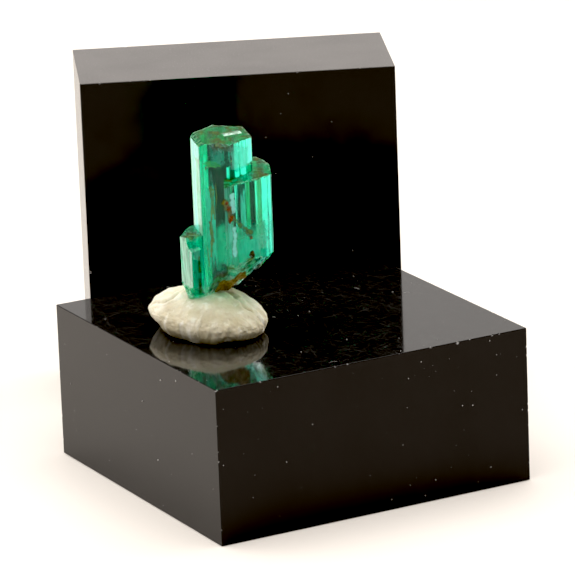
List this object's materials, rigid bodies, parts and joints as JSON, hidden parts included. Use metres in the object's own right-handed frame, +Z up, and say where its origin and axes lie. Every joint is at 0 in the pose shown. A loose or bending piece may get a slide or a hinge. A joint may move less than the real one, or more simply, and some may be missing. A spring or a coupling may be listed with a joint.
{
  "type": "emerald crystal group in matrix on a black display stand",
  "caption": "See-through green emerald prisms grown together, with a brown matrix crust, pressed in cream putty on a low glossy black block, and a black block standing behind them.",
  "frame": {"origin": "centre of the base block's bottom face, on the surface that both blocks stand on", "axes": "+Z up; +X along the base block's front edge, to the right as seen from the front; +Y towards the back block"},
  "size_m": [0.0429, 0.0564, 0.0344],
  "materials": {
    "emerald": "polished",
    "matrix": "matte",
    "putty": "matte",
    "black_acrylic": "polished"
  },
  "bodies": {
    "root": {"emerald_crystals": "emerald", "matrix_crust": "matrix", "mounting_putty": "putty", "base_block": "black_acrylic", "back_block": "black_acrylic"}
  },
  "joints": []
}
